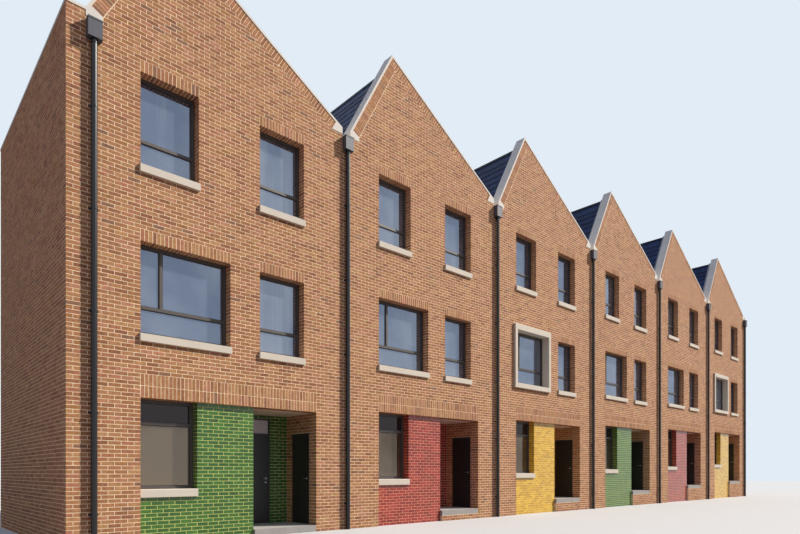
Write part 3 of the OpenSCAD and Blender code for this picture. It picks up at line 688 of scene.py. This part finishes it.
slating = Bench("slating", Width=slate_w - 0.004, Length=gauge * 1.6, Thickness=slate_t,
                Seed=0, Material=None)
size = slating.node("ShaderNodeCombineXYZ", {}, {
    "X": slating.given["Length"], "Y": slating.given["Width"], "Z": slating.given["Thickness"]})
sheet = slating.node("GeometryNodeMeshCube", {}, {"Size": size})
lengthwise = slating.node("ShaderNodeSeparateXYZ", {}, {0: slating.node("GeometryNodeInputPosition")})
tail = slating.node("FunctionNodeCompare", {"data_type": "FLOAT", "operation": "LESS_THAN"},
                    {"A": lengthwise, "B": 0.0})
half_t = slating.math("MULTIPLY", slating.given["Thickness"], 0.5)
lift = slating.node("ShaderNodeCombineXYZ", {}, {"Z": half_t})
split_off = slating.node("GeometryNodeSetPosition", {}, {
    "Geometry": sheet, "Selection": tail, "Offset": lift})
# The ramp kept as 'up' runs from 0 at each slate's tail to 1 at its head; it serves only the painted
# shadow line along the tail.
blank = slating.keep(split_off, "POINT", "up", slating.math("SUBTRACT", 1.0, tail))
pitch, turn, share = slating.read("pitch"), slating.read("turn"), slating.read("share")
seed = slating.given["Seed"]
wobble = slating.chance("FLOAT_VECTOR", (-0.006, -0.010, -0.008), (0.006, 0.004, 0.008), seed)
lean = slating.node("ShaderNodeCombineXYZ", {}, {"Y": slating.math("MULTIPLY", pitch, -1.0), "Z": turn})
placed = slating.node("GeometryNodeInstanceOnPoints", {}, {
    "Points": slating.given["Geometry"], "Instance": blank,
    "Rotation": slating.node("ShaderNodeVectorMath", {"operation": "ADD"}, {0: lean, 1: wobble}),
    "Scale": slating.node("ShaderNodeCombineXYZ", {}, {"X": 1.0, "Y": share, "Z": 1.0})})
own_tone = slating.chance("FLOAT", 0.0, 1.0, slating.math("ADD", seed, 3.0))
slating.end(slating.keep(placed, "INSTANCE", "tone", own_tone))

spots, pitches, turns, shares = [], [], [], []
for n in range(houses):
    x, z = house_at(n)
    top = mitre(roof_drop)
    for angle, side, line, low_x in (
            (steep, 1.0, steep_line, gutter_r if n else end_gutter),
            (shallow, -1.0, shallow_line, house_w + (gutter_l if n < houses - 1 else -end_gutter))):
        low_z = line(low_x, roof_drop)
        reach = math.hypot(top[0] - low_x, top[1] - low_z)
        rise = Vector((-side * math.sin(angle), 0, math.cos(angle)))
        way = Vector((side * math.cos(angle), 0, math.sin(angle)))
        for row in range(math.ceil(reach / gauge)):
            middle = min((row + 0.8) * gauge, reach - gauge * 0.8)
            spot = Vector((x + low_x, 0, z + low_z)) + way * middle + rise * (slate_t * 0.5 + 0.006)
            y = roof_y
            while y < -roof_y - 1e-6:
                wide = min(slate_w / 2 if row % 2 and y == roof_y else slate_w, -roof_y - y)
                spots.append(spot + Vector((0, y + wide / 2, 0)))
                pitches.append(angle - slate_t / gauge)
                turns.append(0.0 if side > 0 else math.pi)
                shares.append((wide - 0.002) / slate_w)
                y += wide
slate_points = bpy.data.meshes.new("slates")
slate_points.from_pydata(spots, [], [])
for key, values in (("pitch", pitches), ("turn", turns), ("share", shares)):
    slate_points.attributes.new(key, "FLOAT", "POINT").data.foreach_set("value", values)

slate = finish("blue_slate", Roughness=0.5, Specular_IOR_Level=0.15)
own, cleft = slate.node("Attribute", {"attribute_name": "tone"}, output="Fac"), slate.grain(22.0, 5.0)
# Painted shadow: the lowest 13 % of each slate, at its tail, is darkened to about a third, a painted
# shadow line along the lower edge of every course. Pieces without the ramp, the ridge tiles and the
# roof slopes under the slates, read 0 and are darkened all over.
tail_shadow_ramp = slate.node("Attribute", {"attribute_name": "up"}, output="Fac")
slate_colour_with_tail_shadow = slate.dim(slate.mix(own, rgb(20, 34, 68), rgb(34, 52, 92)),
                         (0.95 + cleft * 0.5) * (1 - (tail_shadow_ramp < 0.13) * 0.66))
blue_slate = coat(slate, slate_colour_with_tail_shadow, 0.42 + cleft * 0.3, cleft, 0.003)
slating.make("roof_slates", slate_points, "row", "roof_slate", Seed=5, Material=blue_slate)
dress(blue_slate, "steep_roof_slopes", "shallow_roof_slopes")


def plain(name, solids, body, material):
    """A piece of several closed solids, each given as points and faces."""
    points, faces = [], []
    for corners, sides in solids:
        faces += [[i + len(points) for i in side] for side in sides]
        points += corners
    mesh = bpy.data.meshes.new(name)
    mesh.from_pydata([tuple(p) for p in points], [], faces)
    mesh.validate()
    mesh.materials.append(material)
    piece = bpy.data.objects.new(name, mesh)
    bpy.context.collection.objects.link(piece)
    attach(piece, body)


def prism(outline, start, end):
    """A flat outline of (x, z) drawn along Y and closed at both ends."""
    count = len(outline)
    if sum(p[0] * q[1] - q[0] * p[1] for p, q in zip([outline[-1]] + outline[:-1], outline)) > 0:
        outline = outline[::-1]
    corners = [(u, y, v) for y in (start, end) for u, v in outline]
    sides = [list(range(count))[::-1], list(range(count, 2 * count))]
    sides += [[i, (i + 1) % count, (i + 1) % count + count, i + count] for i in range(count)]
    return corners, sides


def down(point, angle, length):
    """A point that lies length down a slope from another, to its left where length is below 0."""
    return point[0] + length * math.cos(angle), point[1] - abs(length) * math.sin(angle)


ridge_tiles, flashings = [], []
wing, tiles = 0.13, 14
tile_l = -2 * roof_y / tiles
upstand_d, apron_d = (0.052, 0.178), (0.128, 0.132)
for n in range(houses):
    x, z = house_at(n)
    outer, inner = mitre(roof_drop - 0.030), mitre(roof_drop - 0.021)
    cap = [(x + u, z + v) for u, v in (
        down(outer, steep, -wing), outer, down(outer, shallow, wing),
        down(inner, shallow, wing), inner, down(inner, steep, -wing))]
    for i in range(tiles):
        ridge_tiles.append(prism(cap, roof_y + i * tile_l + 0.003, roof_y + (i + 1) * tile_l - 0.003))
    x1 = mitre(0.1)[0]
    for line, x0 in ((steep_line, 0.32 if n else 0.42),
                     (shallow_line, house_w - (0.12 if n < houses - 1 else 0.42))):
        upstand, apron = ([(x + u, z + line(u, d)) for u, d in ((x0, d0), (x1, d0), (x1, d1), (x0, d1))]
                          for d0, d1 in (upstand_d, apron_d))
        for y, out in ((roof_y, 1), (-roof_y, -1)):
            flashings.append(prism(upstand, *sorted((y, y + out * 0.006))))
            flashings.append(prism(apron, *sorted((y + out * 0.004, y + out * 0.15))))

lead = finish("dressed_lead", Metallic=0.6, Roughness=0.55)
worn = lead.grain(6.0, 5.0)
dressed_lead = coat(lead, lead.mix(worn, rgb(112, 116, 122), rgb(146, 149, 153)),
                    0.45 + worn * 0.25, worn, 0.002)
plain("ridge_tiles", ridge_tiles, "row", blue_slate)
plain("lead_flashings", flashings, "row", dressed_lead)
dress(dressed_lead, "valley_gutters")

# Windows
# Frames are powder-coated metal, dark bronze. Each light over a transom is a sash with its
# own rim, and the lights below are fixed behind beads. Black gaskets hold sealed glass that
# is half-silvered on its outer face; its blue-grey colour is a painted reflection of the sky over pale
# curtains.

frame_w, bar_w, pane_in = 0.055, 0.05, 0.032
transom, street_transom = 0.53, 0.46
bead_w, sash_w = 0.010, 0.016
lights = []
for n in range(houses):
    x, z = house_at(n)
    for storey in range(3):
        for side in (-1, 1):
            on_street = storey == 0 and side < 0
            for u, w in ((win_x, win_w if storey == 2 or on_street else wide_w), (right_x, win_w)):
                if on_street and u == right_x:
                    continue
                y = -face_y - reveal - (panel_in if on_street else 0.0)
                low, high = z + sill_z[storey] + frame_w, z + head_z[storey] - frame_w
                bar = z + (head_z[0] - street_transom if on_street else sill_z[storey] + transom)
                u0, u1 = x + u + frame_w, x + u + w - frame_w
                lights.append((u0, u1, low, bar - bar_w / 2, side, y, bead_w))
                if w == wide_w:
                    split = u0 + (u1 - u0) * 0.22
                    lights.append((u0, split, bar + bar_w / 2, high, side, y, sash_w))
                    u0 = split + bar_w
                lights.append((u0, u1, bar + bar_w / 2, high, side, y, sash_w))


def rim(u0, u1, v0, v1, wide, y0, y1):
    """A rectangular ring in the X-Z plane, mitred, from y0 to y1."""
    corners = []
    for inset in (0.0, wide):
        for y in (y0, y1):
            corners += [(u0 + inset, y, v0 + inset), (u1 - inset, y, v0 + inset),
                        (u1 - inset, y, v1 - inset), (u0 + inset, y, v1 - inset)]
    sides = []
    for i in range(4):
        j = (i + 1) % 4
        sides += [[i, j, j + 8, i + 8], [i + 4, i + 12, j + 12, j + 4],
                  [i, i + 4, j + 4, j], [i + 8, j + 8, j + 12, i + 12]]
    return corners, sides


rims, gaskets = [], []
for u0, u1, v0, v1, side, y, wide in lights:
    front, seal, glass = side * (y - 0.012), side * (y - 0.024), side * (y - pane_in)
    rims.append(rim(u0 - 0.001, u1 + 0.001, v0 - 0.001, v1 + 0.001, wide, *sorted((front, glass))))
    inset = wide - 0.001
    gaskets.append(rim(u0 + inset, u1 - inset, v0 + inset, v1 - inset, 0.006, *sorted((seal, glass))))

bronze = finish("dark_bronze", Metallic=0.1, Roughness=0.5)
speck = bronze.grain(320.0, 2.0)
dark_bronze = coat(bronze, bronze.mix(bronze.grain(2.5), rgb(72, 65, 61), rgb(82, 75, 70)),
                   0.42 + speck * 0.16, speck, 0.0003)
rubber = finish("black_gasket", Roughness=0.7)
black_gasket = coat(rubber, rubber.dim(rgb(22, 22, 24), 0.8 + rubber.grain(90.0) * 0.4))
plain("window_rims", rims, "row", dark_bronze)
plain("window_gaskets", gaskets, "row", black_gasket)
dress(dark_bronze, "ground_windows", "first_floor_windows", "second_floor_windows")


def above_floor(shade):
    """How high a point lies over the ground floor of its house."""
    house = shade.node("Math", {"operation": "FLOOR"}, {0: (shade.place("X") + row_half) / house_w})
    return shade.place("Z") - ground_z - house * step


glazing = finish("glass_with_painted_sky", Metallic=0.72, Alpha=0.9, Specular_IOR_Level=0.6)
ripple, above = glazing.grain(0.55), above_floor(glazing)
hung = glazing.grain(1.0, 5.0, 0.6, stretch=(2.6, 2.6, 0.10))
# Painted reflection: the upper lights take two blue-grey sky tones as their colour, in patches by the
# ripple, with pale curtains mixed in at up to a third.
upper = glazing.mix(ripple.between(0.35, 0.68), rgb(128, 139, 160), rgb(160, 168, 182))
upper = glazing.mix(hung.between(0.54, 0.68) * 0.35, upper, rgb(186, 190, 198))
blinds = glazing.mix(ripple.between(0.35, 0.6), rgb(104, 88, 73), rgb(136, 121, 104))
ground = glazing.mix(above > head_z[0] - street_transom, blinds, rgb(66, 58, 57))
painted_sky_curtains_blinds = glazing.mix((above < head_z[0] + 0.1) * (glazing.place("Y") < 0.0), upper, ground)
dress(coat(glazing, painted_sky_curtains_blinds, 0.04 + ripple * 0.04), "window_glass")

# Doors
# Front and store doors are flush insulated leaves, anthracite, hung on three butt hinges in
# metal frames. Each front door has a lever on a rose, a key cylinder, a letter plate and a
# viewer over a steel threshold, with a fanlight of obscured glass above.

anthracite = finish("anthracite_paint", Roughness=0.5, Coat_Weight=0.25, Coat_Roughness=0.3)
peel = anthracite.grain(70.0, 2.0)
door_paint = coat(anthracite, anthracite.dim(rgb(32, 28, 28), 0.85 + anthracite.grain(3.0) * 0.3),
                  0.42 + peel * 0.12, peel, 0.0004)
satin = finish("satin_steel", Metallic=1.0, Roughness=0.3)
brushed = satin.grain(40.0, 4.0)
satin_steel = coat(satin, satin.mix(brushed, rgb(168, 168, 170), rgb(196, 196, 198)),
                   0.24 + brushed * 0.2)
leaf_y, leaf_x, leaf_t = porch_y + 0.02, street_r + 0.012, 0.054


def hung_leaf(name, metal_on):
    """Paint on a leaf, and satin steel on the lever and hinges that stand off its faces."""
    leaf = finish(name, Roughness=0.45)
    metal, fleck = metal_on(leaf), leaf.grain(70.0, 2.0)
    paint = leaf.dim(rgb(32, 28, 28), 0.85 + leaf.grain(3.0) * 0.3)
    return coat(leaf, leaf.mix(metal, paint, rgb(182, 182, 184)), 0.42 + fleck * 0.12 - metal * 0.16,
                fleck, 0.0004, metal)


front_leaf = hung_leaf("front_leaf", lambda leaf: abs(leaf.place("Y") - leaf_y - leaf_t / 2)
                       > leaf_t / 2 + 0.002)
side_leaf = hung_leaf("side_leaf", lambda leaf: (leaf.place("Y") < side_near + 0.4)
                      * (across_house(leaf) < leaf_x - 0.002))
dress(door_paint, "door_posts", "door_heads")
dress(front_leaf, *["front_door_%d" % (n + 1) for n in range(houses)])
dress(side_leaf, *["side_door_%d" % (n + 1) for n in range(houses)])
obscured = finish("obscured_glass", Roughness=0.35, Specular_IOR_Level=0.5)
frosting = obscured.grain(160.0, 2.0)
pearl = obscured.dim(rgb(214, 206, 214), 0.94 + obscured.grain(3.0) * 0.1)
dress(coat(obscured, pearl, 0.3 + frosting * 0.2, frosting, 0.0006), "fanlight_glass")


def drum(x, z, radius, y0, y1, sides=24):
    """A round plate in the X-Z plane from y0 to y1."""
    turns = [2 * math.pi * i / sides for i in range(sides)]
    return prism([(x + radius * math.cos(t), z + radius * math.sin(t)) for t in turns], y0, y1)


def plate(x0, x1, z0, z1, y0, y1, ease=0.004):
    """A plate in the X-Z plane whose corners are cut back a little."""
    return prism([(x0 + ease, z0), (x1 - ease, z0), (x1, z0 + ease), (x1, z1 - ease), (x1 - ease, z1),
                  (x0 + ease, z1), (x0, z1 - ease), (x0, z0 + ease)], y0, y1)


thresholds = []
for n in range(houses):
    x, z = house_at(n)
    left, right = x + door_x + 0.045, x + door_r - 0.045
    middle, lock_x, lock_z = (left + right) / 2, right - 0.065, z + 0.985
    rose_y, cover_y = (leaf_y - 0.006, leaf_y + 0.001), (leaf_y - 0.011, leaf_y - 0.005)
    flaps = [plate(middle - 0.14, middle + 0.14, z + 0.98, z + 1.04, *rose_y),
             plate(middle - 0.125, middle + 0.125, z + 0.988, z + 1.032, *cover_y),
             drum(middle, z + 1.50, 0.014, *rose_y)]
    locks = [drum(lock_x, lock_z, 0.024, *rose_y),
             drum(lock_x, lock_z, 0.011, leaf_y - 0.014, leaf_y - 0.005)]
    body = "front_door_%d" % (n + 1)
    plain("letter_plate_%d" % (n + 1), flaps, body, door_paint)
    plain("front_lock_%d" % (n + 1), locks, body, satin_steel)
    thresholds.append(plate(left - 0.005, right + 0.005, z - 0.001, z + 0.004,
                            porch_y, leaf_y + leaf_t, 0.001))
plain("thresholds", thresholds, "row", satin_steel)

# Rainwater goods
# A square hopper head of folded metal stands at every valley with a rolled rim, and feeds a
# round pipe on brackets bolted to the wall. Pipe lengths meet in sockets at 1.8 m.

rainwater = finish("grey_powder_coat", Roughness=0.5)
fine, streak = rainwater.grain(260.0, 2.0), rainwater.grain(1.0, 3.0, 0.5, stretch=(30.0, 30.0, 1.2))
grey_metal = coat(rainwater, rainwater.mix(streak, rgb(70, 70, 77), rgb(84, 84, 92)),
                  0.5 + fine * 0.18, fine, 0.0003)
dress(grey_metal, "hoppers")
black = finish("black_pipe_enamel", Roughness=0.55)
black_pipe = coat(black, black.dim(rgb(20, 18, 21), 0.85 + black.grain(4.0) * 0.3),
                  0.26 + black.grain(300.0) * 0.12)
dress(black_pipe, "downpipes")

hopper_h, hopper_half, hopper_out = 0.335, 0.1235, 0.151
first_bracket, bracket_pitch, bolt_r = 0.6, 1.8, 0.009
trims = []
for k in range(houses + 1):
    x, z = house_at(k)
    x += first_pipe_x if k == 0 else last_pipe_x if k == houses else pipe_x
    top, low = z + hopper_z, z + hopper_z - hopper_h
    for side in (-1, 1):
        face = -side * face_y
        y0, y1 = sorted((face + side * 0.004, face + side * hopper_out))
        for z0, z1, grow in ((top - 0.030, top - 0.002, 0.0), (low - 0.004, low + 0.012, -0.002)):
            half = hopper_half + grow
            corners, sides = rim(x - half, x + half, y0, y1, 0.010, 0.0, 1.0)
            bead = [(p[0], p[2], z0 + p[1] * (z1 - z0)) for p in corners]
            trims.append((bead, [s[::-1] for s in sides]))
        bolt_y = sorted((face + side * 0.005, face + side * 0.013))
        bolt_z = first_bracket
        while bolt_z < low - 0.3:
            trims += [drum(x + dx, bolt_z + 0.02, bolt_r, *bolt_y, 6) for dx in (-0.065, 0.065)]
            bolt_z += bracket_pitch
plain("rainwater_trims", trims, "row", grey_metal)

# Floors and ceilings
# Ground floors are concrete, finished in pale paving in the porches. Upper floors are
# boarded over joists with plaster below, and each porch has a plain rendered ceiling.

concrete = finish("pale_concrete", Roughness=0.85, Specular_IOR_Level=0.3)
mottle = concrete.grain(5.0, 5.0)
pale = concrete.dim(rgb(166, 160, 154), 0.82 + mottle * 0.34)
dress(coat(concrete, pale, None, mottle, 0.001), "ground_floors")

board_w, board_tops = 0.14, (2.925, 6.075)
boards = finish("boards_and_plaster", Roughness=0.6)
gap = (boards.place("X") / board_w) % 1.0 < 0.03
height = above_floor(boards)
laid = (abs(height - board_tops[0]) < 0.005) + (abs(height - board_tops[1]) < 0.005)
figure = boards.grain(3.0, 4.0, 0.5, stretch=(9.0, 1.0, 1.0))
oak = boards.mix(gap, boards.mix(figure, rgb(150, 116, 82), rgb(188, 152, 112)), rgb(70, 52, 38))
skimmed = boards.dim(rgb(226, 223, 217), 0.95 + boards.grain(3.0) * 0.08)
dress(coat(boards, boards.mix(laid, skimmed, oak)), "first_floors", "second_floors")

render = finish("rendered_ceiling", Roughness=0.9, Specular_IOR_Level=0.2)
warm = render.dim(rgb(232, 202, 180), 0.92 + render.grain(30.0) * 0.14)
dress(coat(render, warm, None, render.grain(120.0), 0.0008), "porch_soffits")
